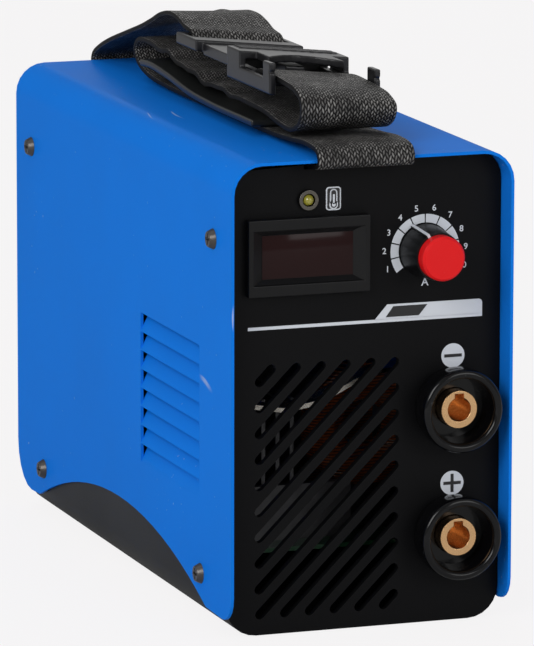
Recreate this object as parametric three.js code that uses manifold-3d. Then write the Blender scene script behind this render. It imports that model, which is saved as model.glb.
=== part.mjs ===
// Stick welding inverter: a folded cover over a tray chassis, two recessed panels,
// the power electronics inside and a webbing carrying strap on top.
// Millimetres. X is across, Y runs front (-) to rear (+), Z is up, z = 0 is the chassis floor.
import * as THREE from 'three';
import { mergeVertices } from 'three/addons/utils/BufferGeometryUtils.js';
import Module from 'manifold-3d';

const wasm = await Module();
wasm.setup();

// ---------------------------------------------------------------- driving sizes
const CASE_W = 112;            // outside width of the cover
const CASE_H = 181;            // floor of the chassis to the top of the cover
const CASE_D = 266;            // length of the cover
const SHEET = 1.2;             // cover sheet
const FOLD_R = 12;             // outside radius of the top folds
const RECESS = 10;             // panel face behind the edge of the cover
const PANEL_T = 3;             // moulded end panels
const TRAY_T = 1.5;            // chassis sheet
const TRAY_H = 42;             // height of the tray sides
const TRAY_R = 12;             // outside radius of the tray bends
const FIT = 0.3;               // clearance between neighbouring pieces
const GRIP = 0.2;              // clearance of a screw in its hole
const STRAP_W = 38;            // webbing width
const STRAP_T = 1.8;           // webbing thickness
const STRAP_X = -4;            // centre of the webbing across the case
const BOARD_Z = 22;            // underside of the main board
const BOARD_T = 1.6;
const FAN_SIZE = 80;
const FAN_DEPTH = 25;
const FAN_X = -6;
const FAN_Z = 90;
const SOCKET_X = 35;
const SOCKET_Z = { negative: 83, positive: 34 };
const SOCKET_OD = 32;
const SOCKET_OUT = 14;         // rim of a socket ahead of the panel
const SOCKET_THREAD = 12;      // radius of the threaded neck behind the panel
const SOCKET_PIN = 7.2;        // radius of the brass insert
const METER = { x: -23, z: 143.9, w: 48, h: 29, out: 3.9, wall: 2.3 };
const DIAL = { x: 24.2, z: 142.8 };
const SHAFT = { r: 2, neck: 3.5 };   // adjuster shaft and its threaded neck
const KNOB = { r: 10.2, top: 9, cap: 8.4, core: 5.2, deep: 15, out: 20.5 };
const POINTER_TURN = 28;       // pointer to the left of straight up, degrees
const LAMP = { x: -22.6, z: 164.6, r: 3.85, stem: 2.9 };
const PAD_T = 2.6;             // hand pad
const BUCKLE = { wall: 2.6, play: 0.6, lift: 12.3, high: 12.2, rear: -42, leg: -91 };
const LEAN = 0.105;            // how much the buckle drops across the strap, towards the far side
const SCREW_HIGH = { in: 20.5, z: 150 };   // side screws: in from the cover's ends, and height
const SCREW_LOW = { in: 35, z: 19.5 };
const POST = { x: 38, y: 76, r: 4 };       // board posts in the tray
const FOOT = 29;               // length of each foot under the arched lower edge
const LOUVRE = { y0: -98, y1: -27, z0: 48, pitch: 7.36, count: 8, depth: 4 };
const SLOT = { pitch: 9.9, width: 3.6, x0: -44, x1: 15, z0: 5.3, z1: 104 };
const SWITCH = { x: -26, z: 155, w: 30, h: 22 };
const GLAND = { x: 26, z: 153, r: 8 };
const EARTH = { x: 40, z: 26, r: 3 };

// ---------------------------------------------------------------- derived sizes
const IN_X = CASE_W / 2 - SHEET;               // inner face of the cover side
const PANEL_X = IN_X - FIT;                    // half width of the panels
const FRONT = -CASE_D / 2 + RECESS;            // face of the front panel
const FRONT_IN = FRONT + PANEL_T;
const REAR = CASE_D / 2 - RECESS;
const REAR_IN = REAR - PANEL_T;
const TOP_IN = CASE_H - SHEET;
const BOARD_TOP = BOARD_Z + BOARD_T;
const SLOT_Z = TOP_IN - 2.1;                   // middle of the strap slots
const CASE_BACK = CASE_D / 2;
const HIGH_Y = CASE_BACK - SCREW_HIGH.in;
const LOW_Y = CASE_BACK - SCREW_LOW.in;
const SLOT_HALF = STRAP_T / 2 + 0.8;           // half height of the strap slots
const FAN_HOLE = FAN_SIZE / 2 - 4.25;          // fan screws from the fan's axis, each way
const FAN_BORE = FAN_SIZE / 2 - 2.5;
const BUS_Y = FRONT + 27;                      // front face of the busbars

const finish = (colour, roughness, metalness) =>
  new THREE.MeshStandardMaterial({ color: colour, roughness, metalness });
const BLUE = finish(0x1c6fd1, 0.35, 0.1);
const BLACK = finish(0x1b1b1d, 0.6, 0);
const GLOSS = finish(0x101012, 0.2, 0);
const WEB = finish(0x1c1c1e, 0.9, 0);
const GREY = finish(0x3c3d40, 0.4, 0);
const RED = finish(0xd81e1e, 0.4, 0);
const BRASS = finish(0xb98f4e, 0.3, 1);
const STEEL = finish(0x6a6663, 0.4, 1);
const CHROME = finish(0xc8c8c8, 0.15, 1);
const ALLOY = finish(0xb9bbbd, 0.4, 1);
const COPPER = finish(0xc86a2c, 0.35, 1);
const GREEN = finish(0x1d5a34, 0.5, 0);
const SMOKE = finish(0x321e1e, 0.15, 0);
const AMBER = finish(0x7d7c1c, 0.2, 0);
const FERRITE = finish(0x2a2a2c, 0.7, 0.1);

const root = new THREE.Group();
root.name = 'stick_welding_inverter';

// ---------------------------------------------------------------- solid helpers
function solid(geometry) {
  const bare = geometry.index ? geometry.clone() : geometry;
  bare.deleteAttribute('normal');
  bare.deleteAttribute('uv');
  const g = mergeVertices(bare, 1e-4);
  const mesh = new wasm.Mesh({
    numProp: 3,
    vertProperties: new Float32Array(g.attributes.position.array),
    triVerts: new Uint32Array(g.index.array),
  });
  mesh.merge();
  return new wasm.Manifold(mesh);
}

function add(name, body, material) {
  const mesh = body.getMesh();
  const g = new THREE.BufferGeometry();
  g.setAttribute('position', new THREE.BufferAttribute(new Float32Array(mesh.vertProperties), 3));
  g.setIndex(new THREE.BufferAttribute(new Uint32Array(mesh.triVerts), 1));
  g.computeVertexNormals();
  const node = new THREE.Mesh(g, material);
  node.name = name;
  root.add(node);
  return body;
}

const union = (...bodies) => bodies.reduce((a, b) => a.add(b));
const cut = (body, ...tools) => tools.reduce((a, b) => a.subtract(b), body);

function box(x0, x1, y0, y1, z0, z1) {
  const g = new THREE.BoxGeometry(x1 - x0, y1 - y0, z1 - z0);
  return solid(g.translate((x0 + x1) / 2, (y0 + y1) / 2, (z0 + z1) / 2));
}

// A rod from a to b along one axis; p and q are its place on the other two axes in order.
function rod(axis, r, a, b, p, q, sides = 32, r2 = r) {
  const g = new THREE.CylinderGeometry(r2, r, b - a, sides);
  g.translate(0, (a + b) / 2, 0);
  if (axis === 'x') g.rotateZ(-Math.PI / 2).translate(0, p, q);
  if (axis === 'y') g.translate(p, 0, q);
  if (axis === 'z') g.rotateX(Math.PI / 2).translate(p, q, 0);
  return solid(g);
}

// A flat outline in X and Z drawn out along Y.
function alongY(points, y0, y1) {
  const shape = new THREE.Shape(points.map(([x, z]) => new THREE.Vector2(x, z)));
  const g = new THREE.ExtrudeGeometry(shape, { depth: y1 - y0, bevelEnabled: false });
  return solid(g.rotateX(Math.PI / 2).translate(0, y1, 0));
}

// A flat outline in Y and Z drawn out along X.
function alongX(points, x0, x1) {
  const shape = new THREE.Shape(points.map(([y, z]) => new THREE.Vector2(y, z)));
  const g = new THREE.ExtrudeGeometry(shape, { depth: x1 - x0, bevelEnabled: false });
  g.rotateX(Math.PI / 2).rotateZ(Math.PI / 2);
  return solid(g.translate(x0, 0, 0));
}

// Corner points of a rectangle whose four corners have their own radii,
// in the order bottom left, bottom right, top right, top left.
function rounded(x0, x1, z0, z1, radii, steps = 6) {
  const corners = [[x0, z0, 180], [x1, z0, 270], [x1, z1, 0], [x0, z1, 90]];
  const points = [];
  corners.forEach(([x, z, start], i) => {
    const r = radii[i];
    if (r === 0) { points.push([x, z]); return; }
    const cx = x === x0 ? x0 + r : x1 - r;
    const cz = z === z0 ? z0 + r : z1 - r;
    for (let k = 0; k <= steps; k += 1) {
      const a = (start + (90 * k) / steps) * Math.PI / 180;
      points.push([cx + r * Math.cos(a), cz + r * Math.sin(a)]);
    }
  });
  return points;
}

// A band of even thickness that follows a smooth line through points in Y and Z.
function band(line, steps, x0 = STRAP_X - STRAP_W / 2, x1 = STRAP_X + STRAP_W / 2, t = STRAP_T) {
  const curve = new THREE.CatmullRomCurve3(line.map(([y, z]) => new THREE.Vector3(y, z, 0)),
    false, 'centripetal');
  const left = [];
  const right = [];
  for (let i = 0; i <= steps; i += 1) {
    const p = curve.getPoint(i / steps);
    const d = curve.getTangent(i / steps);
    left.push([p.x - d.y * t / 2, p.y + d.x * t / 2]);
    right.push([p.x + d.y * t / 2, p.y - d.x * t / 2]);
  }
  return alongX([...left, ...right.reverse()], x0, x1);
}

// ---------------------------------------------------------------- case
const SIDE_SCREWS = [[-HIGH_Y, SCREW_HIGH.z], [HIGH_Y, SCREW_HIGH.z],
  [-LOW_Y, SCREW_LOW.z], [LOW_Y, SCREW_LOW.z]];

function sideOutline() {
  // Side view of the cover with its arched lower edge between two feet.
  const low = 7.4;
  const apex = 28.7;
  const half = CASE_D / 2 - FOOT;
  const rise = apex - low - 0.4;
  const radius = (half * half + rise * rise) / (2 * rise);
  const front = -CASE_D / 2;
  const points = rounded(front, -front, low, CASE_H + 1, [10, 18, 0, 0], 5);
  const arch = [];
  for (let i = 0; i <= 20; i += 1) {
    const y = -half + (2 * half * i) / 20;
    arch.push([y, apex - radius + Math.sqrt(radius * radius - y * y)]);
  }
  const first = points.slice(0, 6);
  return [...first, ...arch, ...points.slice(6)];
}

function slat(sign, i) {
  const z = LOUVRE.z0 + i * LOUVRE.pitch;
  const out = CASE_W / 2;
  const p = [[out, z], [out - LOUVRE.depth, z + LOUVRE.pitch],
    [out - LOUVRE.depth - SHEET, z + LOUVRE.pitch], [out - SHEET, z]];
  const cheek = [[out, z], [out, z + LOUVRE.pitch],
    [out - LOUVRE.depth - SHEET, z + LOUVRE.pitch], [out - SHEET, z]];
  const turn = (list) => (sign > 0 ? list.reverse() : list.map(([x, w]) => [-x, w]));
  return union(alongY(turn(p), LOUVRE.y0 - 0.6, LOUVRE.y1 + 0.6),
    alongY(turn(cheek), LOUVRE.y0 - 0.6, LOUVRE.y0 + SHEET));
}

function buildCover() {
  const half = CASE_D / 2;
  const outer = alongY(rounded(-CASE_W / 2, CASE_W / 2, 0, CASE_H, [0, 0, FOLD_R, FOLD_R]),
    -half, half);
  const inner = alongY(rounded(-IN_X, IN_X, -1, TOP_IN,
    [0, 0, FOLD_R - SHEET, FOLD_R - SHEET]), -half - 1, half + 1);
  let body = outer.subtract(inner).intersect(alongX(sideOutline(), -CASE_W, CASE_W));
  const top = LOUVRE.z0 + LOUVRE.count * LOUVRE.pitch;
  for (const sign of [-1, 1]) {
    const x = sign * CASE_W / 2;
    body = body.subtract(box(x - 3, x + 3, LOUVRE.y0, LOUVRE.y1, LOUVRE.z0, top));
    for (let i = 0; i < LOUVRE.count; i += 1) body = body.add(slat(sign, i));
    for (const [y, z] of SIDE_SCREWS) {
      body = body.subtract(rod('x', 2 + GRIP, x - 3, x + 3, y, z, 16));
    }
  }
  add('cover', body, BLUE);
}

function posts() {
  const { x, y } = POST;
  return [[-x, -y], [-x, y], [x, -y], [x, y]];
}

function buildChassis() {
  const w = PANEL_X;
  const outer = alongY(rounded(-w, w, 0, TRAY_H, [TRAY_R, TRAY_R, 0, 0]), FRONT_IN, REAR_IN);
  const inner = alongY(rounded(-w + TRAY_T, w - TRAY_T, TRAY_T, TRAY_H + 1,
    [TRAY_R - TRAY_T, TRAY_R - TRAY_T, 0, 0]), FRONT_IN - 1, REAR_IN + 1);
  let body = outer.subtract(inner);
  for (const [x, y] of posts()) body = body.add(rod('z', POST.r, TRAY_T - 0.5, BOARD_Z, x, y, 12));
  for (const sign of [-1, 1]) {
    for (const y of [-LOW_Y, LOW_Y]) {
      body = body.subtract(rod('x', 2 + GRIP, sign * w - 4, sign * w + 4, y, SCREW_LOW.z, 16));
    }
  }
  add('chassis', body, BLACK);
}

function panelBlank(y0, y1) {
  const inward = y0 < 0 ? y1 : y0;
  const face = alongY(rounded(-PANEL_X, PANEL_X, 0, TOP_IN - FIT,
    [TRAY_R, TRAY_R, FOLD_R - SHEET - FIT, FOLD_R - SHEET - FIT]), y0, y1);
  let body = face;
  for (const sign of [-1, 1]) {
    const a = sign * PANEL_X;
    const b = sign * (PANEL_X - 4);
    const reach = inward < 0 ? [inward - 1, inward + 16] : [inward - 16, inward + 1];
    body = body.add(box(Math.min(a, b), Math.max(a, b), reach[0], reach[1],
      SCREW_HIGH.z - 8, SCREW_HIGH.z + 8));
    body = body.subtract(rod('x', 2 + GRIP, a - 6, a + 6, Math.sign(y0) * HIGH_Y, SCREW_HIGH.z, 16));
  }
  return body.subtract(box(STRAP_X - STRAP_W / 2 - 1, STRAP_X + STRAP_W / 2 + 1,
    y0 - 1, y1 + 1, SLOT_Z - SLOT_HALF, SLOT_Z + SLOT_HALF));
}

function grilleBars() {
  // The openings left between the bars of the 45 degree grille, as one set of tools.
  const tools = [];
  const c = Math.SQRT1_2;
  const reach = SLOT.width / 2 * c;
  const frame = { x0: SLOT.x0 + 2 * reach, x1: SLOT.x1 - 2 * reach,
    z0: SLOT.z0 + 2 * reach, z1: SLOT.z1 - 2 * reach };
  for (let k = -6; k <= 9; k += 1) {
    const shift = 9.6 + k * SLOT.pitch + (SLOT.z0 - SLOT.x0);
    const lo = Math.max(frame.x0, frame.z0 - shift);
    const hi = Math.min(frame.x1, frame.z1 - shift);
    if (hi - lo < 1) continue;
    const points = [];
    for (const [x, start] of [[lo, 135], [hi, -45]]) {
      for (let s = 0; s <= 4; s += 1) {
        const a = (start + 45 * s) * Math.PI / 180;
        points.push([x + SLOT.width / 2 * Math.cos(a), x + shift + SLOT.width / 2 * Math.sin(a)]);
      }
    }
    tools.push(alongY(points, FRONT - 1, FRONT_IN + 1));
  }
  return tools;
}

function buildFrontPanel() {
  const y = [FRONT - 1, FRONT_IN + 1];
  const w = METER.w / 2 - METER.wall + FIT;
  const h = METER.h / 2 - METER.wall + FIT;
  let body = panelBlank(FRONT, FRONT_IN);
  body = cut(body, ...grilleBars(),
    box(METER.x - w, METER.x + w, ...y, METER.z - h, METER.z + h),
    rod('y', LAMP.stem + FIT, ...y, LAMP.x, LAMP.z, 24),
    rod('y', SHAFT.neck + FIT, ...y, DIAL.x, DIAL.z, 24),
    rod('y', SOCKET_THREAD + FIT, ...y, SOCKET_X, SOCKET_Z.negative),
    rod('y', SOCKET_THREAD + FIT, ...y, SOCKET_X, SOCKET_Z.positive));
  add('front_panel', body, BLACK);
}

function fanHoles() {
  const o = FAN_HOLE;
  return [[-o, -o], [o, -o], [-o, o], [o, o]].map(([x, z]) => [FAN_X + x, FAN_Z + z]);
}

function buildRearPanel() {
  let body = panelBlank(REAR_IN, REAR);
  const y = [REAR_IN - 1, REAR + 1];
  const w = SWITCH.w / 2 - 2 + FIT;
  const h = SWITCH.h / 2 - 2 + FIT;
  body = cut(body, rod('y', FAN_BORE - 1.5, ...y, FAN_X, FAN_Z, 48),
    ...fanHoles().map(([x, z]) => rod('y', 2 + GRIP, ...y, x, z, 16)),
    box(SWITCH.x - w, SWITCH.x + w, ...y, SWITCH.z - h, SWITCH.z + h),
    rod('y', GLAND.r + FIT, ...y, GLAND.x, GLAND.z),
    rod('y', EARTH.r + GRIP, ...y, EARTH.x, EARTH.z, 16));
  add('rear_panel', body, BLACK);
}

function buildCoverScrews() {
  let n = 1;
  for (const sign of [-1, 1]) {
    for (const [y, z] of SIDE_SCREWS) {
      const x = sign * CASE_W / 2;
      const head = rod('x', 4, 0, 2.3, 0, 0, 24, 2.9);
      const shank = rod('x', 2, -9, 0.5, 0, 0, 12);
      const slot = union(box(1.3, 3, -0.45, 0.45, -2.2, 2.2), box(1.3, 3, -2.2, 2.2, -0.45, 0.45));
      let screw = head.add(shank).subtract(slot);
      if (sign < 0) screw = screw.rotate([0, 0, 180]);
      add(`cover_screw_${n}`, screw.translate([x, y, z]), STEEL);
      n += 1;
    }
  }
}

// ---------------------------------------------------------------- front controls
function buildMeter() {
  const { x, z, w, h, out, wall } = METER;
  const rim = box(x - w / 2, x + w / 2, FRONT - out, FRONT, z - h / 2, z + h / 2);
  const sleeve = box(x - w / 2 + wall, x + w / 2 - wall, FRONT - 1, FRONT_IN + 12,
    z - h / 2 + wall, z + h / 2 - wall);
  const a = w / 2 - wall - 1.9;      // half size of the open back
  const b = h / 2 - wall - 1.8;
  // Sloped throat down to the window, then the open back for the display.
  const throat = new THREE.CylinderGeometry(Math.SQRT1_2, 0.855, 1, 4, 1);
  throat.rotateY(Math.PI / 4);
  const ramp = solid(throat).scale([w - 11.5, 6, h - 12]).translate([x, FRONT - out + 2.9, z]);
  const back = box(x - a, x + a, FRONT + 1.6, FRONT_IN + 13, z - b, z + b);
  const plate = (y0, y1) => box(x - a + FIT, x + a - FIT, y0, y1, z - b + FIT, z + b - FIT);
  add('meter_bezel', rim.add(sleeve).subtract(ramp).subtract(back), BLACK);
  add('meter_window', plate(FRONT + 1.6, FRONT + 3.1), SMOKE);
  const digits = box(x - a + 4.8, x + a - 4.8, FRONT + 3.4, FRONT + 9, z - b + 3.4, z + b - 3.4);
  add('meter_board', plate(FRONT + 9, FRONT + 10.6).add(digits), GREEN);
}

function buildLamp() {
  const { x, z, r, stem } = LAMP;
  const shell = union(rod('y', r, FRONT - 1.8, FRONT, x, z),
    rod('y', stem, FRONT - 1, FRONT_IN + 6, x, z, 24));
  const bore = stem - 0.5;
  add('led_bezel', shell.subtract(rod('y', bore, FRONT - 3, FRONT_IN + 7, x, z, 24)), CHROME);
  const lens = rod('y', bore - FIT, FRONT - 0.8, FRONT_IN + 5, x, z, 24);
  const dome = new THREE.SphereGeometry(bore - FIT, 16, 8);
  add('led_lens', lens.add(solid(dome).translate([x, FRONT - 0.8, z])), AMBER);
}

function buildDial() {
  const { x, z } = DIAL;
  const face = FRONT - KNOB.out;
  const can = union(rod('y', 8, FRONT_IN + 0.3, FRONT_IN + 9, x, z),
    rod('y', SHAFT.neck, FRONT - 5, FRONT_IN + 1, x, z, 24),
    box(x - 6, x + 6, FRONT_IN + 1, FRONT_IN + 3, z - 16, z));
  const sleeve = rod('y', SHAFT.r + FIT, FRONT - 6, FRONT_IN + 7, x, z, 20);
  add('potentiometer_body', can.subtract(sleeve), GREY);
  const tip = KNOB.deep - 1;         // the shaft stops just short of the cap
  add('potentiometer_shaft', rod('y', SHAFT.r, FRONT - tip, FRONT_IN + 6.5, x, z, 20), CHROME);
  const hex = rod('y', SHAFT.neck + 2.1, FRONT - 2.2, FRONT, x, z, 6)
    .subtract(rod('y', SHAFT.neck + GRIP, FRONT - 4, FRONT + 1, x, z, 24));
  add('potentiometer_nut', hex, STEEL);
  const skirt = rod('y', KNOB.top, FRONT - KNOB.deep, FRONT - 0.6, x, z, 48, KNOB.r);
  const rib = [[-KNOB.r - 1, FRONT - 0.6], [-KNOB.r + 2, FRONT - 0.6], [-KNOB.top + 2, FRONT - KNOB.deep],
    [-KNOB.top - 0.6, FRONT - KNOB.deep]];
  const pointer = alongX(rib.map(([a, b]) => [b, -a]), -0.9, 0.9)
    .rotate([0, -POINTER_TURN, 0]).translate([x, 0, z]);
  const core = rod('y', KNOB.core, FRONT - KNOB.deep - 3, FRONT - 7, x, z);
  const inside = rod('y', SHAFT.neck + 3.3, FRONT - 5.6, FRONT, x, z);
  const bore = rod('y', SHAFT.r + GRIP, FRONT - tip - 0.4, FRONT - 5, x, z, 20);
  add('knob_body', cut(skirt.add(pointer).add(core), inside, bore), BLACK);
  const cap = union(rod('y', KNOB.cap, face + 1, FRONT - KNOB.deep, x, z, 48),
    rod('y', KNOB.cap - 0.8, face, face + 1.1, x, z, 48, KNOB.cap));
  const hole = rod('y', KNOB.core + FIT, FRONT - KNOB.deep - 3.3, FRONT, x, z);
  add('knob_cap', cap.subtract(hole), RED);
}

function buildSocket(side) {
  const x = SOCKET_X;
  const z = SOCKET_Z[side];
  const rim = FRONT - SOCKET_OUT;
  const r = SOCKET_OD / 2;
  const neck = SOCKET_THREAD;
  const inner = SOCKET_PIN + FIT;
  const profile = [[inner, FRONT - 3], [inner, FRONT + 17], [neck, FRONT + 17], [neck, FRONT],
    [r - 1.4, FRONT], [r - 0.8, FRONT - 4], [r, FRONT - 7], [r, rim + 1.6], [r - 0.8, rim + 0.3],
    [r - 2, rim], [r - 3, rim + 0.6], [r - 3.6, rim + 2], [r - 4.4, FRONT - 3], [inner, FRONT - 3]];
  const ring = new THREE.LatheGeometry(profile.map(([a, b]) => new THREE.Vector2(a, b)), 32);
  let collar = solid(ring);
  if (collar.volume() < 0) collar = solid(ring.index ? flip(ring) : ring);
  add(`socket_collar_${side}`, collar.translate([x, 0, z]), GLOSS);
  const pin = union(rod('y', SOCKET_PIN, FRONT - 9, FRONT + 18, x, z, 36),
    rod('y', 5, FRONT + 17.5, BUS_Y - 1, x, z, 20));
  const bore = rod('y', 4.6, FRONT - 10, FRONT + 13, x, z, 28);
  const key = box(x - 1.8, x + 1.8, FRONT - 10, FRONT - 1, z + 3, z + 6);
  add(`socket_insert_${side}`, cut(pin, bore, key), BRASS);
  const nut = rod('y', neck + 4.5, FRONT_IN, FRONT_IN + 6, x, z, 6)
    .subtract(rod('y', neck + FIT, FRONT, FRONT_IN + 9, x, z));
  add(`socket_nut_${side}`, nut, BLACK);
}

function flip(g) {
  const index = Array.from(g.index.array);
  for (let i = 0; i < index.length; i += 3) [index[i], index[i + 1]] = [index[i + 1], index[i]];
  g.setIndex(index);
  return g;
}

// ---------------------------------------------------------------- rear fittings
function buildFan() {
  const r = FAN_SIZE / 2;
  const y0 = REAR_IN - FAN_DEPTH;
  const edge = rounded(FAN_X - r, FAN_X + r, FAN_Z - r, FAN_Z + r, [4, 4, 4, 4], 3);
  const plate = alongY(edge, y0, REAR_IN);
  let frame = plate.subtract(rod('y', FAN_BORE, y0 - 1, REAR_IN + 1, FAN_X, FAN_Z, 48));
  for (let i = 0; i < 4; i += 1) {
    const arm = box(0, FAN_BORE + 0.5, y0, y0 + 3, -2.5, 2.5).rotate([0, 45 + 90 * i, 0]);
    frame = frame.add(arm.translate([FAN_X, 0, FAN_Z]));
  }
  frame = union(frame, rod('y', 17, y0, y0 + 4, FAN_X, FAN_Z),
    rod('y', 2, y0 + 3, REAR_IN - 5, FAN_X, FAN_Z, 16));
  frame = cut(frame, ...fanHoles().map(([x, z]) =>
    rod('y', 2 + GRIP, y0 - 1, REAR_IN + 1, x, z, 12)));
  add('fan_frame', frame, BLACK);
  let rotor = rod('y', 16.5, y0 + 4.6, REAR_IN - 2, 0, 0);
  for (let i = 0; i < 7; i += 1) {
    const blade = box(12, FAN_BORE - 1.5, -0.7, 0.7, -9, 9).rotate([48, 0, 0]).translate([0, y0 + 14, 0]);
    rotor = rotor.add(blade.rotate([0, (360 / 7) * i, 0]));
  }
  rotor = rotor.intersect(rod('y', FAN_BORE - 0.9, y0 + 4.6, REAR_IN - 1.5, 0, 0, 40));
  rotor = rotor.subtract(rod('y', 2.4, y0, REAR_IN - 4.6, 0, 0, 16));
  add('fan_rotor', rotor.translate([FAN_X, 0, FAN_Z]), BLACK);
}

function buildGuard() {
  const y = REAR + 1.5;
  const far = Math.round(FAN_HOLE * Math.SQRT2 * 100) / 100;
  const hole = rod('y', 2 + GRIP, y - 5, y + 5, far, 0, 16);
  let guard = rod('y', 10, y - 0.8, y + 0.8, 0, 0, 24);
  for (const r of [18, 27, FAN_BORE - 1.5]) {
    const ring = solid(new THREE.TorusGeometry(r, 0.9, 5, 24).rotateX(Math.PI / 2));
    guard = guard.add(ring.translate([0, y, 0]));
  }
  for (let i = 0; i < 4; i += 1) {
    const spoke = box(0, far + 1.44, y - 0.7, y + 0.7, -0.9, 0.9);
    const eye = rod('y', 4.2, y - 1.5, y + 1, far, 0, 20);
    const arm = spoke.add(eye).subtract(hole);
    guard = guard.add(arm.rotate([0, 45 + 90 * i, 0]));
  }
  add('fan_guard', guard.translate([FAN_X, 0, FAN_Z]), CHROME);
  fanHoles().forEach(([x, z], i) => {
    const head = rod('y', 3, 0, 2.4, 0, 0, 24, 2.2).add(rod('y', 3.8, 0, 1.2, 0, 0, 24));
    const slot = box(-0.45, 0.45, 1.2, 3, -1.8, 1.8).add(box(-1.8, 1.8, 1.2, 3, -0.45, 0.45));
    const screw = head.add(rod('y', 2, -30, 0.4, 0, 0, 12)).subtract(slot);
    add(`fan_screw_${i + 1}`, screw.translate([x, REAR + 2.5, z]), STEEL);
  });
}

function buildSwitch() {
  const { x, z, w, h } = SWITCH;
  const rim = box(x - w / 2, x + w / 2, REAR, REAR + 2, z - h / 2, z + h / 2);
  const tub = box(x - w / 2 + 2, x + w / 2 - 2, REAR_IN - 16, REAR + 1, z - h / 2 + 2, z + h / 2 - 2);
  const well = box(x - w / 2 + 4, x + w / 2 - 4, REAR_IN - 8, REAR + 3, z - h / 2 + 3.2, z + h / 2 - 3.2);
  const pivot = rod('x', 1.2, x - w / 2 + 3, x + w / 2 - 3, REAR - 4, z, 16);
  let body = cut(rim.add(tub), well).add(pivot);
  for (const dx of [-8, 0, 8]) {
    body = body.add(box(x + dx - 0.4, x + dx + 0.4, REAR_IN - 26, REAR_IN - 15, z - 3, z + 3));
  }
  add('power_switch_frame', body, BLACK);
  const k = h / 2 - 4.8;
  const side = [[-k, -1], [-k, 3.6], [0, 1.8], [k, 5.2], [k, 3], [3, -4], [-3, -4]];
  const outline = side.map(([a, b]) => [REAR - 3.4 + b, z + a]);
  const paddle = alongX(outline, x - w / 2 + 4.5, x + w / 2 - 4.5);
  add('power_switch_rocker', paddle.subtract(rod('x', 1.5, x - w, x + w, REAR - 4, z, 16)), RED);
}

function buildGland() {
  const { x, z, r } = GLAND;
  const flange = rod('y', r + 3.4, REAR, REAR + 4, x, z, 6);
  const dome = rod('y', r + 2, REAR + 3.9, REAR + 14, x, z, 28, r - 0.4);
  const thread = rod('y', r, REAR_IN - 9, REAR + 1, x, z);
  const bore = rod('y', r - 3, REAR_IN - 10, REAR + 15, x, z, 24);
  add('cable_gland', union(flange, dome, thread).subtract(bore), BLACK);
  const nut = rod('y', r + 3.2, REAR_IN - 5, REAR_IN, x, z, 6)
    .subtract(rod('y', r + FIT, REAR_IN - 6, REAR, x, z));
  add('gland_nut', nut, BLACK);
  const bolt = union(rod('y', 5.6, REAR, REAR + 4, EARTH.x, EARTH.z, 6),
    rod('y', EARTH.r, REAR_IN - 12, REAR + 1, EARTH.x, EARTH.z, 20));
  add('earth_screw', bolt, BRASS);
  const ring = rod('y', 5.6, REAR_IN - 5, REAR_IN, EARTH.x, EARTH.z, 6);
  const clear = rod('y', EARTH.r + GRIP, REAR_IN - 6, REAR, EARTH.x, EARTH.z, 20);
  add('earth_nut', ring.subtract(clear), BRASS);
}

// ---------------------------------------------------------------- electronics
function buildInside() {
  const top = BOARD_TOP;
  let board = box(-46, 46, -84, 84, BOARD_Z, top);
  for (const [x, y] of posts()) board = board.subtract(rod('z', 1.8, BOARD_Z - 7, top + 7, x, y, 12));
  add('main_board', board, GREEN);
  let sink = box(-44, -8, -72, 46, top, top + 8).add(box(-42, 14, -72, -68, top, 45));
  for (let i = 0; i < 7; i += 1) {
    sink = sink.add(box(-44 + i * 5.75, -42.5 + i * 5.75, -68, 46, top + 7, 78));
  }
  add('heatsink', sink, ALLOY);
  add('control_board', box(-29, -27.4, -60, 40, 78, 122), GREEN);
  const core = cut(box(6, 46, -20, 24, top, 76), box(12, 20, -21, 25, top + 9, 66),
    box(32, 40, -21, 25, top + 9, 66));
  add('transformer_core', core, FERRITE);
  const coil = box(12.4, 39.6, -27, 31, top + 9.4, 65.6).subtract(box(19.6, 32.4, -20.4, 24.4, top, 90));
  add('transformer_winding', coil, COPPER);
  add('inductor_base', box(16, 34, -64, -44, top, 38), BLACK);
  const ring = new THREE.TorusGeometry(17, 8.5, 10, 24).rotateX(Math.PI / 2);
  add('output_inductor', solid(ring).translate([25, -54, 38 + 25.8]), COPPER);
  [[12, 54], [38, 54]].forEach(([x, y], i) => {
    add(`capacitor_${i + 1}`, rod('z', 12, top, top + 46, x, y, 28), GLOSS);
  });
  add('bridge_rectifier', box(8, 42, 70, 83, top, top + 9), FERRITE);
  const line = [[-43, 81.5], [-36, 81], [-22, 78.5], [-9, 80.4], [-1, 84], [7, 88], [16, 91], [27, 92]];
  const strip = [...line, ...line.map(([x, z]) => [x, z + 1.8]).reverse()];
  const y = [BUS_Y, BUS_Y + 2];
  const a = SOCKET_X - 9;
  const b = SOCKET_X + 9;
  const pad = box(a, b, ...y, SOCKET_Z.negative - 9, SOCKET_Z.negative + 15);
  const link = union(alongY(strip, BUS_Y, BUS_Y + 10), pad,
    box(-43, -35, BUS_Y + 1, -62, 78, 82));
  const hole = (z) => rod('y', 5.2, BUS_Y - 4, BUS_Y + 6, SOCKET_X, z, 20);
  add('busbar_negative', link.subtract(hole(SOCKET_Z.negative)), CHROME);
  const short = union(box(a, b, ...y, top, SOCKET_Z.positive + 9), box(a, b, BUS_Y, -78, top, top + 2));
  add('busbar_positive', short.subtract(hole(SOCKET_Z.positive)), CHROME);
}

// ---------------------------------------------------------------- carrying strap
// Points of a webbing line: place along Y, height over the cover and the layers under it.
const over = (line) => line.map(([y, h, n]) => [y, CASE_H + h + n * STRAP_T]);

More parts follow.
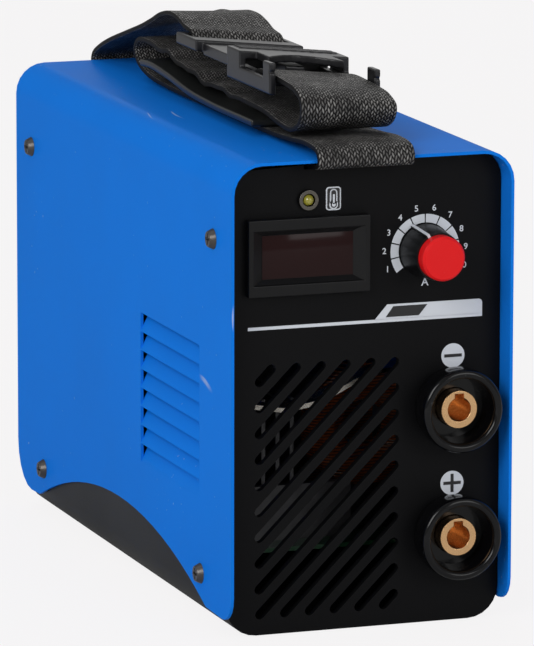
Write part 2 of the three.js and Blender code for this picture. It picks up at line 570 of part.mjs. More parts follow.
// The webbing through an end panel and round the edge of the cover, from inside to outside.
function throughSlot(side) {
  const s = SLOT_Z - CASE_H;
  const e = CASE_BACK + 0.3 + STRAP_T / 2;
  const inward = [[REAR_IN - 9, s, 0], [REAR_IN, s, 0], [CASE_BACK - 4, s, 0], [e, s + 1.1, 0],
    [e + 1.2, -0.4, 0], side > 0 ? [e - 0.2, 1.7, 0.5] : [e - 0.6, 1.9, 0.5]];
  return inward.map(([y, h, n]) => [side * y, h, n]);
}

// Lowers what lies under or in the buckle towards the far side; above tells where, from 0 to 1.
function lean(body, above) {
  return body.warp((v) => { v[2] -= LEAN * (v[0] - STRAP_X) * above(v[1], v[2]); });
}

const ease = (t) => { const u = Math.min(1, Math.max(0, t)); return u * u * (3 - 2 * u); };

function buildStrap() {
  const z = SLOT_Z;
  const b = CASE_BACK;
  const rear = [...throughSlot(1),
    [b - 7, 5.7, 0.5], [b - 20, 10.1, 0.5], [b - 40, 14.7, 1], [b - 62, 19.8, 1.5], [60, 21.5, 2.5],
    [48, 25.1, 2.5], [36, 26.3, 2.5], [27, 25.2, 2.5], [19, 23.1, 2.5], [14.5, 22.6, 2.5],
    [10.4, 21.9, 2.5], [8.2, 19.8, 2.5], [7.6, 15.6, 2.5]];
  add('strap_rear', lean(band(over(rear), 34), (y) => ease((62 - y) / 40)), WEB);
  const front = [...throughSlot(-1),
    [-b + 12, 3.5, 0.5], [-b + 30, 2.5, 0.5], [-b + 50, 1.7, 0.5], [0, 1.5, 0.5], [40, 1.7, 0.5],
    [64, 3.1, 0.5], [76, 5.7, 1], [80, 10.2, 1], [76, 13.3, 1.5], [64, 14.5, 1.5], [48, 13.7, 1.5],
    [24, 11.5, 1.5], [0, 8.7, 1.5], [-30, 7.9, 1.5], [-60, 7.5, 1.5], [-76, 6.9, 1.5], [-92, 4.9, 1.5],
    [-106, 4.7, 1.5], [-115, 8.4, 2], [-116, 13.6, 2], [-109, 16, 2.5], [-96, 17.3, 2.5],
    [-84, 17.9, 2.5], [-72, 18, 2.5], [-67, 17.2, 2.5], [-65.6, 14.8, 2.5]];
  const third = CASE_H + 12;
  add('strap_front', lean(band(over(front), 76), (y, h) => (y < -50 ? ease((h - third) / 8) : 0)), WEB);
  const pad = [
    [-76, 3.5, 1], [-60, 3.5, 1], [-30, 3.5, 1], [0, 4.6, 1], [24, 7.2, 1], [46, 8.6, 1], [58, 8, 1]];
  const w = STRAP_W / 2 + 5;
  add('strap_pad', band(over(pad), 24, STRAP_X - w, STRAP_X + w, PAD_T), GREY);
  for (const [name, s] of [['front', -1], ['rear', 1]]) {
    const y = s * (REAR_IN - 5);
    add(`strap_anchor_${name}`, box(STRAP_X - w + 2, STRAP_X + w - 2, Math.min(y, y + s * 5),
      Math.max(y, y + s * 5), z - 6.4, z - STRAP_T / 2 - 0.25), STEEL);
  }
  buildBuckle();
}

function buildBuckle() {
  const { wall, play, lift, high, rear, leg } = BUCKLE;
  const half = STRAP_W / 2 + play + wall;
  const z0 = CASE_H + lift + 2 * STRAP_T;      // two layers of webbing lie under it
  const z1 = z0 + high;
  const x0 = STRAP_X - half;
  const x1 = STRAP_X + half;
  // Female half: top plate with a curved edge between two side legs, and a bar for the webbing.
  const outline = [[x0, rear], [x0, leg], [x0 + wall, leg]];
  for (let i = 0; i <= 12; i += 1) {
    const u = i / 6 - 1;
    outline.push([STRAP_X + u * (half - wall), leg + 30 - 16 * u * u]);
  }
  outline.push([x1 - wall, leg], [x1, leg], [x1, rear]);
  const shape = new THREE.Shape(outline.map(([x, y]) => new THREE.Vector2(x, y)));
  const plate = solid(new THREE.ExtrudeGeometry(shape, { depth: 3, bevelEnabled: false }))
    .translate([0, 0, z1 - 3]);
  const cheek = [[leg, z0], [rear, z0], [rear, z1 - 1], [leg + 6, z1 - 1], [leg, z1 - 4]];
  const side = (a, b) => alongX(cheek, a, b);
  const floor = box(x0 + 1, x1 - 1, rear - 20, rear, z0, z0 + 2.2);
  const bar = box(x0 + 1, x1 - 1, leg + 17, leg + 22, z0 + 2.2, z0 + 5.2);
  const port = (a, b) => box(a, b, leg + 8, leg + 34, z0 + 5.8, z1 + 1);
  const female = union(plate, side(x0, x0 + wall), side(x1 - wall, x1), floor, bar);
  const ports = port(x0 - 1, x0 + 7).add(port(x1 - 7, x1 + 1));
  add('buckle_female', lean(female.subtract(ports), () => 1), GREY);
  // Male half: a frame for the webbing, a centre tongue and two sprung prongs.
  const low = z0 + 3;
  const body = union(box(x0 + 3, x1 - 3, rear + FIT, rear + 36, low + 0.6, low + 5),
    box(x0, x1, rear + 36, rear + 60, low + 1.8, low + 6.4),
    box(STRAP_X - 4, STRAP_X + 4, rear - 16, rear + 1, low, low + 4.6));
  const prong = (a, b) => box(a, b, rear - 22, rear + 1, low - 0.2, low + 3);
  const prongs = prong(x0 + wall + FIT, x0 + wall + 4).add(prong(x1 - wall - 4, x1 - wall - FIT));
  const slot = box(x0 + wall, x1 - wall, rear + 45.5, rear + 53, low - 1, low + 9);
  add('buckle_male', lean(cut(body.add(prongs), slot), () => 1), GREY);
}

buildCover();
buildChassis();
buildFrontPanel();
buildRearPanel();
buildCoverScrews();
buildMeter();
buildLamp();
buildDial();
buildSocket('negative');
buildSocket('positive');
buildFan();
buildGuard();
buildSwitch();
buildGland();
buildInside();
buildStrap();

export default root;
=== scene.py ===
"""Stick welding inverter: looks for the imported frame, built piece by piece."""

from __future__ import annotations

import logging
import math
from collections.abc import Callable, Iterator, Sequence
from contextlib import contextmanager
from dataclasses import dataclass, field
from enum import Enum
from functools import cache

import bpy
from mathutils import Matrix, Vector


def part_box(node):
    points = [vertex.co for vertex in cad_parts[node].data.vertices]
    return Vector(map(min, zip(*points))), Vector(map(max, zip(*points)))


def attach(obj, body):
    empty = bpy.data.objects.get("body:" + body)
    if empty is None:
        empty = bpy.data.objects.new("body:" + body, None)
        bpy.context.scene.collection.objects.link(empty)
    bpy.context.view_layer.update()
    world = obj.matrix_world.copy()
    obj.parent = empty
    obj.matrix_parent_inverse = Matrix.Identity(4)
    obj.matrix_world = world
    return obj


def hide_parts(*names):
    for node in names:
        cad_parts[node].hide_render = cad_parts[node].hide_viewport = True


log = logging.getLogger("welding_inverter")
MM = 0.001
Point2 = tuple[float, float]
Point3 = tuple[float, float, float]
Colour = tuple[float, float, float]


# ---------------------------------------------------------------- selection and shape helpers
def deselect() -> None:
    """Clears the selection and the active object."""
    bpy.ops.object.select_all(action="DESELECT")
    bpy.context.view_layer.objects.active = None


def activate(obj: bpy.types.Object) -> bpy.types.Object:
    """Selects one object alone and makes it active.

    Args:
        obj: The object to work on.

    Returns:
        The same object.
    """
    deselect()
    obj.select_set(True)
    bpy.context.view_layer.objects.active = obj
    return obj


def settle(obj: bpy.types.Object) -> bpy.types.Object:
    """Puts the place of an object into its mesh and leaves the object at the origin.

    Args:
        obj: The object, turned or moved or not.

    Returns:
        The same object.
    """
    activate(obj)
    bpy.ops.object.transform_apply(location=True, rotation=True, scale=True)
    return obj


def modify(obj: bpy.types.Object, kind: str, **values: object) -> bpy.types.Object:
    """Adds one modifier and applies it.

    Args:
        obj: The mesh object.
        kind: The modifier's type name.
        values: Its settings.

    Returns:
        The same object.
    """
    activate(obj)
    modifier = obj.modifiers.new(kind.lower(), kind)
    for key, value in values.items():
        setattr(modifier, key, value)
    bpy.ops.object.modifier_apply(modifier=modifier.name)
    return obj


def smooth(obj: bpy.types.Object, degrees: float = 35.0) -> bpy.types.Object:
    """Shades smooth up to an angle.

    Args:
        obj: The mesh object.
        degrees: Largest angle between faces that is shaded round.

    Returns:
        The same object.
    """
    activate(obj)
    bpy.ops.object.shade_smooth_by_angle(angle=math.radians(degrees))
    return obj


@contextmanager
def edited() -> Iterator[None]:
    """Edit mode with everything selected, then back to object mode."""
    bpy.ops.object.mode_set(mode="EDIT")
    bpy.ops.mesh.select_all(action="SELECT")
    yield
    bpy.ops.object.mode_set(mode="OBJECT")


def soften(obj: bpy.types.Object, width: float, segments: int = 2) -> bpy.types.Object:
    """Rounds the sharp edges of a piece and shades it.

    Args:
        obj: The mesh object.
        width: Width of the rounding in millimetres.
        segments: Faces across it.

    Returns:
        The same object.
    """
    modify(obj, "BEVEL", width=width * MM, segments=segments, limit_method="ANGLE",
           angle_limit=math.radians(38), use_clamp_overlap=True)
    smooth(obj, 40)
    return modify(obj, "WEIGHTED_NORMAL", keep_sharp=True, weight=80)


def join(name: str, pieces: Sequence[bpy.types.Object]) -> bpy.types.Object:
    """Joins objects into one with its place in its mesh.

    Args:
        name: Name of the result.
        pieces: The objects, the first of which stays.

    Returns:
        The joined object.
    """
    deselect()
    for piece in pieces:
        piece.select_set(True)
    bpy.context.view_layer.objects.active = pieces[0]
    if len(pieces) > 1:
        bpy.ops.object.join()
    result = bpy.context.view_layer.objects.active
    result.name = name
    result.data.name = name
    return settle(result)


def block(size: Vector | Sequence[float], at: Sequence[float],
          chamfer: float = 0.2) -> bpy.types.Object:
    """A block with its edges rounded in edit mode.

    Args:
        size: Full sizes in millimetres.
        at: Centre in millimetres.
        chamfer: Rounding of the edges in millimetres.

    Returns:
        The new object.
    """
    deselect()
    bpy.ops.mesh.primitive_cube_add(size=1, location=[c * MM for c in at])
    obj = bpy.context.active_object
    obj.scale = [s * MM for s in size]
    settle(obj)
    with edited():
        bpy.ops.mesh.bevel(offset=chamfer * MM, segments=2, affect="EDGES")
    return smooth(obj, 40)


def prism(points: Sequence[Point2], y0: float, y1: float) -> bpy.types.Object:
    """An outline in X and Z drawn out along Y.

    Args:
        points: Corners in order, in millimetres.
        y0: Where it starts.
        y1: Where it ends.

    Returns:
        The new object.
    """
    deselect()
    bpy.ops.mesh.primitive_circle_add(vertices=len(points), radius=0.01, fill_type="NGON")
    obj = bpy.context.active_object
    for vertex, (x, z) in zip(obj.data.vertices, points, strict=True):
        vertex.co = (x * MM, y0 * MM, z * MM)
    with edited():
        bpy.ops.mesh.extrude_region_move(
            TRANSFORM_OT_translate={"value": (0, (y1 - y0) * MM, 0)})
        bpy.ops.mesh.select_all(action="SELECT")
        bpy.ops.mesh.normals_make_consistent(inside=False)
    return settle(obj)


def turned(name: str, profile: Sequence[Point2], x: float, z: float,
           steps: int = 64) -> bpy.types.Object:
    """A profile spun round an axis along Y.

    Args:
        name: Name of the piece.
        profile: Radius and Y of each corner in millimetres, closed on itself or on the axis.
        x: Place of the axis across.
        z: Height of the axis.
        steps: Faces round the axis.

    Returns:
        The new object.
    """
    deselect()
    bpy.ops.mesh.primitive_circle_add(vertices=len(profile), radius=0.01, fill_type="NOTHING")
    obj = bpy.context.active_object
    for vertex, (r, y) in zip(obj.data.vertices, profile, strict=True):
        vertex.co = (r * MM, y * MM, 0)
    with edited():
        bpy.ops.mesh.spin(steps=steps, angle=math.tau, center=(0, 0, 0), axis=(0, 1, 0))
        bpy.ops.mesh.select_all(action="SELECT")
        bpy.ops.mesh.remove_doubles(threshold=1e-6)
        bpy.ops.mesh.normals_make_consistent(inside=False)
    obj.name = name
    obj.data.name = name
    obj.location = (x * MM, 0, z * MM)
    return settle(obj)


def refined(node: str, width: float, segments: int = 2) -> bpy.types.Object:
    """A finished copy of a CAD node: merged, its flat faces cleaned, its edges rounded.

    Args:
        node: The CAD node.
        width: Rounding of its edges in millimetres, or 0 for none.
        segments: Faces across the rounding.

    Returns:
        The new object, which stands for the node.
    """
    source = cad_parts[node]
    mesh = source.data.copy()
    mesh.materials.clear()
    obj = bpy.data.objects.new(f"{node}_shape", mesh)
    bpy.context.scene.collection.objects.link(obj)
    activate(obj)
    with edited():
        bpy.ops.mesh.remove_doubles(threshold=2e-6)
        bpy.ops.mesh.dissolve_limited(angle_limit=math.radians(0.5))
    if width:
        soften(obj, width, segments)
    else:
        smooth(obj, 35)
    return obj


def place(obj: bpy.types.Object, body: str, finish: "Finish", *nodes: str) -> bpy.types.Object:
    """Gives a piece its finish, its body and the CAD nodes that it stands for.

    Args:
        obj: The finished piece.
        body: The body that it rides on.
        finish: What its surface is.
        nodes: CAD nodes that it replaces.

    Returns:
        The same object.
    """
    obj.data.materials.clear()
    obj.data.materials.append(finish.material())
    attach(obj, body)
    if nodes:
        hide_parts(*nodes)
    log.info("piece %s on %s", obj.name, body)
    return obj


# ---------------------------------------------------------------- finishes
class Pattern(Enum):
    """What a surface's fine structure is."""

    GRAIN = "grain"
    BRUSHED = "brushed"
    WOUND = "wound"
    WOVEN = "woven"


class Group:
    """A shader node group under construction."""

    def __init__(self, name: str, inputs: dict[str, float | Colour | None],
                 outputs: dict[str, str]) -> None:
        """Starts the group with its sockets.

        Args:
            name: Name of the group.
            inputs: Socket name to default: a number, a colour, or None for a vector.
            outputs: Socket name to socket type.
        """
        self.tree = bpy.data.node_groups.new(name, "ShaderNodeTree")
        for label, default in inputs.items():
            kind = ("NodeSocketVector" if default is None else
                    "NodeSocketColor" if isinstance(default, tuple) else "NodeSocketFloat")
            socket = self.tree.interface.new_socket(label, in_out="INPUT", socket_type=kind)
            if isinstance(default, tuple):
                socket.default_value = (*default, 1)
            elif default is not None:
                socket.default_value = default
        for label, kind in outputs.items():
            self.tree.interface.new_socket(label, in_out="OUTPUT", socket_type=kind)
        self.inside = self.tree.nodes.new("NodeGroupInput")
        self.result = self.tree.nodes.new("NodeGroupOutput")

    def node(self, kind: str, settings: dict[str, object] | None = None,
             **sockets: object) -> bpy.types.Node:
        """Adds a node and joins its inputs.

        Args:
            kind: The node's type without its prefix.
            settings: Its properties.
            sockets: Input name, or _number, to a value or an output socket.

        Returns:
            The node.
        """
        node = self.tree.nodes.new(f"ShaderNode{kind}")
        for key, value in (settings or {}).items():
            setattr(node, key, value)
        for key, value in sockets.items():
            socket = node.inputs[int(key[1:])] if key.startswith("_") else node.inputs[key]
            if isinstance(value, bpy.types.NodeSocket):
                self.tree.links.new(value, socket)
            else:
                socket.default_value = value
        return node

    def math(self, operation: str, first: object, second: object = 0.0) -> bpy.types.NodeSocket:
        """A maths node's output.

        Args:
            operation: Its operation.
            first: A number or a socket.
            second: A number or a socket.

        Returns:
            The output socket.
        """
        return self.node("Math", {"operation": operation}, _0=first, _1=second).outputs[0]

    def noise(self, vector: object, scale: object, detail: float = 3.0) -> bpy.types.NodeSocket:
        """A noise texture's value.

        Args:
            vector: Where it is read.
            scale: Its scale.
            detail: Its octaves.

        Returns:
            The output socket.
        """
        return self.node("TexNoise", Vector=vector, Scale=scale, Detail=detail).outputs["Fac"]

    def ramp(self, value: object, low: float, high: float) -> bpy.types.NodeSocket:
        """A value spread between two limits.

        Args:
            value: The value.
            low: What becomes 0.
            high: What becomes 1.

        Returns:
            The output socket.
        """
        node = self.node("MapRange", {"interpolation_type": "SMOOTHSTEP"}, Value=value)
        node.inputs["From Min"].default_value = low
        node.inputs["From Max"].default_value = high
        return node.outputs[0]

    def mix(self, factor: object, first: object, second: object) -> bpy.types.NodeSocket:
        """A colour between two others.

        Args:
            factor: How much of the second.
            first: The first colour.
            second: The second colour.

        Returns:
            The output socket.
        """
        node = self.node("Mix", {"data_type": "RGBA"}, _0=factor, _6=first, _7=second)
        return node.outputs[2]

    def swing(self, value: object, amount: object) -> bpy.types.NodeSocket:
        """How far a value lies from one half, times an amount."""
        return self.math("MULTIPLY", self.math("SUBTRACT", value, 0.5), amount)

    def toned(self, cloud: object) -> bpy.types.NodeSocket:
        """The group's colour, lighter and darker with a cloud."""
        inputs = self.inside.outputs
        value = self.math("ADD", self.swing(cloud, inputs["Tone"]), 1.0)
        return self.node("HueSaturation", Value=value, Color=inputs["Colour"]).outputs[0]

    def send(self, **sockets: bpy.types.NodeSocket) -> bpy.types.NodeTree:
        """Joins the outputs and closes the group.

        Args:
            sockets: Output name to socket.

        Returns:
            The node tree.
        """
        for label, socket in sockets.items():
            self.tree.links.new(socket, self.result.inputs[label])
        return self.tree


YARN_ACROSS = 1.15                   # size of one yarn crown in the webbing
YARN_ALONG = 1.9
OUTPUTS = {"Colour": "NodeSocketColor", "Roughness": "NodeSocketFloat",
           "Height": "NodeSocketFloat"}


@cache
def surface_group() -> bpy.types.NodeTree:
    """Grain, cloudy tone, dust specks and hairline scratches for moulded or coated parts.

    Returns:
        The node tree, built once.
    """
    g = Group("coated_surface", {"Vector": None, "Colour": (0.5, 0.5, 0.5),
                                 "Roughness": 0.4, "Tone": 0.1, "Grain": 1500.0,
                                 "Specks": 0.2, "Scratches": 0.2}, OUTPUTS)
    i = g.inside.outputs
    cloud = g.noise(i["Vector"], 14.0, 4.0)
    speck = g.ramp(g.noise(i["Vector"], 520.0, 1.0), 0.745, 0.80)
    patch = g.ramp(g.noise(i["Vector"], 21.0, 2.0), 0.47, 0.66)
    dust = g.math("MULTIPLY", g.math("MULTIPLY", speck, patch), i["Specks"])
    warp = g.node("TexNoise", Vector=i["Vector"], Scale=9.0, Detail=2.0).outputs["Color"]
    bent = g.node("VectorMath", {"operation": "MULTIPLY_ADD"},
                  _0=warp, _1=(0.05, 0.05, 0.05), _2=i["Vector"]).outputs[0]
    long = g.node("Mapping", Vector=bent, Rotation=(0.5, 0.2, 0.4), Scale=(700, 9, 40)).outputs[0]
    line = g.ramp(g.noise(long, 1.0, 0.0), 0.795, 0.83)
    rare = g.ramp(g.noise(i["Vector"], 33.0, 1.0), 0.60, 0.68)
    scratch = g.math("MULTIPLY", g.math("MULTIPLY", line, rare), i["Scratches"])
    worn = g.math("ADD", dust, scratch)
    worn.node.use_clamp = True
    colour = g.mix(worn, g.toned(cloud), (0.62, 0.66, 0.7, 1))
    fine = g.noise(i["Vector"], i["Grain"], 2.0)
    rough = g.math("ADD", i["Roughness"], g.swing(cloud, 0.16))
    rough = g.math("ADD", rough, g.math("MULTIPLY", worn, 0.3))
    height = g.math("SUBTRACT", fine, g.math("MULTIPLY", scratch, 2.0))
    return g.send(Colour=colour, Roughness=rough, Height=height)


@cache
def brushed_group() -> bpy.types.NodeTree:
    """Fine tool lines and stains for metal.

    Returns:
        The node tree, built once.
    """
    g = Group("tooled_metal", {"Vector": None, "Colour": (0.5, 0.5, 0.5), "Roughness": 0.3,
                               "Tone": 0.2, "Grain": 900.0}, OUTPUTS)
    i = g.inside.outputs
    cloud = g.noise(i["Vector"], 90.0, 5.0)
    long = g.node("Mapping", Vector=i["Vector"], Scale=(1.0, 6.0, 1.0)).outputs[0]
    lines = g.noise(long, i["Grain"], 2.0)
    rough = g.math("ADD", i["Roughness"], g.swing(lines, 0.22))
    return g.send(Colour=g.toned(cloud), Roughness=rough, Height=lines)


@cache
def wound_group() -> bpy.types.NodeTree:
    """Turns of enamelled wire that lie side by side, with painted shade in the grooves between
    them.

    Returns:
        The node tree, built once.
    """
    g = Group("wound_wire", {"Vector": None, "Colour": (0.5, 0.2, 0.1), "Roughness": 0.3,
                            "Tone": 0.2, "Grain": 900.0}, OUTPUTS)
    i = g.inside.outputs
    bands = g.node("TexWave", {"wave_type": "BANDS", "bands_direction": "Z"},
                   Vector=i["Vector"], Scale=i["Grain"], Distortion=0.6, Detail=1.0).outputs["Fac"]
    # Painted shade: the grooves between turns are darkened towards near black.
    dark = g.ramp(bands, 0.0, 0.5)
    colour = g.mix(dark, (0.03, 0.008, 0.004, 1), i["Colour"])
    rough = g.math("ADD", i["Roughness"], g.math("MULTIPLY", bands, -0.1))
    return g.send(Colour=colour, Roughness=rough, Height=bands)


@cache
def woven_group() -> bpy.types.NodeTree:
    """Coarse webbing: raised yarns in a staggered twill, with a painted highlight on their crowns.

    Returns:
        The node tree, built once.
    """
    g = Group("woven_webbing", {"Vector": None, "Colour": (0.02, 0.02, 0.02), "Roughness": 0.6,
                                "Tone": 0.2, "Grain": 1.0}, OUTPUTS)
    i = g.inside.outputs
    part = g.node("SeparateXYZ", Vector=i["Vector"])
    # Each yarn crown is a slanted oval; neighbouring columns lean the other way.
    across = g.math("MULTIPLY", part.outputs[0], 1.0 / YARN_ACROSS)
    along = g.math("MULTIPLY", part.outputs[1], 1.0 / YARN_ALONG)
    column = g.math("FLOOR", across)
    odd = g.math("MODULO", g.math("ABSOLUTE", column), 2.0)
    inside = g.math("SUBTRACT", g.math("FRACT", across), 0.5)
    lean = g.math("SUBTRACT", g.math("MULTIPLY", odd, 2.0), 1.0)
    slid = g.math("ADD", along, g.math("MULTIPLY", g.math("MULTIPLY", inside, lean), 0.62))
    slid = g.math("ADD", slid, g.math("MULTIPLY", odd, 0.5))
    run = g.math("SUBTRACT", g.math("FRACT", slid), 0.5)
    far = g.math("ADD", g.math("POWER", g.math("ABSOLUTE", g.math("MULTIPLY", inside, 2.0)), 2.6),
                 g.math("POWER", g.math("ABSOLUTE", g.math("MULTIPLY", run, 2.15)), 2.2))
    crown = g.ramp(far, 1.0, 0.0)
    stretched = g.node("Mapping", Vector=i["Vector"], Scale=(5.0, 1.4, 1.0)).outputs[0]
    strand = g.noise(stretched, 1.6, 2.0)
    # Painted highlight: each yarn crown is lightened towards pale grey, in uneven patches along
    # the strap.
    highlight_patches = g.ramp(g.noise(i["Vector"], 0.5, 1.0), 0.40, 0.62)
    crown_highlight = g.math("MULTIPLY", crown, g.math("ADD", g.math("MULTIPLY", highlight_patches, 0.6), 0.4))
    fade = g.ramp(g.noise(i["Vector"], 0.07, 3.0), 0.3, 0.7)
    lift = g.math("MULTIPLY", crown_highlight, g.math("ADD", g.math("MULTIPLY", fade, 0.6), 0.4))
    colour = g.mix(lift, i["Colour"], (0.33, 0.32, 0.31, 1))
    rough = g.math("SUBTRACT", i["Roughness"], g.math("MULTIPLY", crown_highlight, 0.16))
    height = g.math("ADD", crown, g.math("MULTIPLY", strand, 0.25))
    return g.send(Colour=colour, Roughness=rough, Height=height)


GROUPS: dict[Pattern, Callable[[], bpy.types.NodeTree]] = {
    Pattern.GRAIN: surface_group, Pattern.BRUSHED: brushed_group,
    Pattern.WOUND: wound_group, Pattern.WOVEN: woven_group}


@dataclass(frozen=True)
class Finish:
    """One surface finish of the machine."""

    name: str
    slot: str
    colour: Colour
    roughness: float
    metallic: float = 0.0
    coat: float = 0.0
    coat_roughness: float = 0.08
    specular: float = 0.5
    pattern: Pattern = Pattern.GRAIN
    tone: float = 0.1
    grain: float = 1500.0
    bump: float = 0.02
    specks: float = 0.0
    scratches: float = 0.0

    def material(self) -> bpy.types.Material:
        """The finish as a material, built once.

        Returns:
            The material.
        """
        if self.name in bpy.data.materials:
            return bpy.data.materials[self.name]
        made = bpy.data.materials.new(self.name)
        made.use_nodes = True
        nodes, links = made.node_tree.nodes, made.node_tree.links
        shader = nodes["Principled BSDF"]
        shader.inputs["Metallic"].default_value = self.metallic
        shader.inputs["Coat Weight"].default_value = self.coat
        shader.inputs["Coat Roughness"].default_value = self.coat_roughness
        shader.inputs["Specular IOR Level"].default_value = self.specular
        where = nodes.new("ShaderNodeTexCoord")
        detail = nodes.new("ShaderNodeGroup")
        detail.node_tree = GROUPS[self.pattern]()
        source = "UV" if self.pattern is Pattern.WOVEN else "Object"
        links.new(where.outputs[source], detail.inputs["Vector"])
        values = {"Colour": (*self.colour, 1), "Roughness": self.roughness,
                  "Tone": self.tone, "Grain": self.grain,
                  "Specks": self.specks, "Scratches": self.scratches}
        for label, value in values.items():
            if label in detail.inputs:
                detail.inputs[label].default_value = value
        bump = nodes.new("ShaderNodeBump")
        bump.inputs["Strength"].default_value = 1.0
        bump.inputs["Distance"].default_value = self.bump * MM
        links.new(detail.outputs["Height"], bump.inputs["Height"])
        links.new(detail.outputs["Colour"], shader.inputs["Base Color"])
        links.new(detail.outputs["Roughness"], shader.inputs["Roughness"])
        links.new(bump.outputs["Normal"], shader.inputs["Normal"])
        return made


BLUE = Finish("blue_powder_coat", "blue_paint", (0.007, 0.190, 0.75), 0.36,
              specular=0.006, tone=0.16, grain=900.0, bump=0.012, specks=0.45, scratches=0.55)
TRAY = Finish("tray_paint", "black_paint", (0.006, 0.006, 0.0065), 0.5, bump=0.03, specks=0.1,
              specular=0.2)
PANEL = Finish("panel_moulding", "black_plastic", (0.0025, 0.0025, 0.003), 0.50, tone=0.2,
               grain=2600.0, bump=0.02, specks=0.03, specular=0.11)
BLACK = Finish("black_moulding", "black_plastic", (0.004, 0.004, 0.0045), 0.36, tone=0.2,
               grain=2600.0, bump=0.01, specks=0.03, specular=0.22)
GLOSS = Finish("gloss_moulding", "gloss_black", (0.002, 0.002, 0.0025), 0.16, coat=0.25,
               specular=0.15, tone=0.2, grain=1200.0, bump=0.004, specks=0.05, scratches=0.05)
GREY = Finish("buckle_moulding", "grey_plastic", (0.010, 0.010, 0.0115), 0.34, tone=0.4,
              specular=0.4, grain=1300.0, bump=0.02, specks=0.1, scratches=0.2)
PAD = Finish("pad_moulding", "grey_plastic", (0.012, 0.013, 0.013), 0.32, tone=0.4, coat=0.05,
             specular=0.35, grain=800.0, bump=0.03, specks=0.2, scratches=0.3)
RED = Finish("red_cap", "red_plastic", (0.74, 0.008, 0.010), 0.36, tone=0.06, grain=1800.0,
             bump=0.01, specks=0.03, specular=0.2)
INK = Finish("white_print", "tinned_copper", (0.62, 0.65, 0.70), 0.5, tone=0.12, grain=2200.0,
             bump=0.01)
DARK_INK = Finish("black_print", "black_plastic", (0.010, 0.010, 0.011), 0.5, bump=0.01)
WEB = Finish("strap_weave", "webbing", (0.0022, 0.0022, 0.0024), 0.6, pattern=Pattern.WOVEN,
             bump=0.5, specular=0.2, tone=0.2, grain=1.0)
BRASS = Finish("turned_brass", "brass", (0.72, 0.44, 0.22), 0.26, 1.0, pattern=Pattern.BRUSHED,
               tone=0.35, grain=1600.0, bump=0.01)
STEEL = Finish("dark_zinc", "screw_steel", (0.10, 0.094, 0.09), 0.38, 1.0,
               pattern=Pattern.BRUSHED, tone=0.5, grain=1500.0, bump=0.01)
CHROME = Finish("bright_plate", "chrome_plate", (0.34, 0.34, 0.33), 0.18, 1.0,
                pattern=Pattern.BRUSHED, tone=0.15, grain=1500.0, bump=0.004)
# Bare aluminium painted far darker than the metal: painted shade for the heatsink deep inside the
# case.
SHADED_ALLOY = Finish("extruded_alloy", "bare_aluminium", (0.12, 0.12, 0.124), 0.5, 1.0,
               pattern=Pattern.BRUSHED, tone=0.3, grain=700.0, bump=0.01)
TIN = Finish("tinned_bar", "tinned_copper", (0.66, 0.62, 0.56), 0.24, 1.0,
             pattern=Pattern.BRUSHED, tone=0.3, grain=500.0, bump=0.01)
WIRE = Finish("enamelled_wire", "copper_wire", (0.30, 0.070, 0.014), 0.28, coat=0.3,
              pattern=Pattern.WOUND, grain=260.0, bump=0.5)
BOARD = Finish("solder_mask", "green_board", (0.008, 0.085, 0.028), 0.3, coat=0.3, tone=0.4,
               grain=400.0, bump=0.03)
WINDOW = Finish("window_tint", "smoked_window", (0.017, 0.006, 0.006), 0.12,
                coat=0.03, specular=0.12, tone=0.3, grain=300.0, bump=0.001)
DULL = Finish("dull_plate", "chrome_plate", (0.13, 0.12, 0.105), 0.24, 1.0,
              pattern=Pattern.BRUSHED, tone=0.2, grain=1500.0, bump=0.004)
LENS = Finish("lens_tint", "amber_lens", (0.30, 0.27, 0.03), 0.10, coat=0.8, tone=0.3,
              grain=500.0, bump=0.004)
FERRITE = Finish("sintered_core", "ferrite", (0.03, 0.03, 0.032), 0.6, bump=0.05)

# ---------------------------------------------------------------- shared places, from the frame
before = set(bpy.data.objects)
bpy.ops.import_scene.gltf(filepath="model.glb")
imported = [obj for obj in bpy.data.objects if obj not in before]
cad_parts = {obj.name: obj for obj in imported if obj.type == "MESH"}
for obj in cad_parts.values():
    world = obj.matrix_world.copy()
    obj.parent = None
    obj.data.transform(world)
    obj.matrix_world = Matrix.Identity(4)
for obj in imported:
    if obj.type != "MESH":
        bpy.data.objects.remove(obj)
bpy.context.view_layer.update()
deselect()


def low(node: str) -> Vector:
    """The lowest corner of a CAD node in millimetres."""
    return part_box(node)[0] / MM


def high(node: str) -> Vector:
    """The highest corner of a CAD node in millimetres."""
    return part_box(node)[1] / MM


def middle(node: str) -> Vector:
    """The middle of a CAD node's box in millimetres."""
    return (low(node) + high(node)) / 2


FACE = low("front_panel").y          # face of the front panel


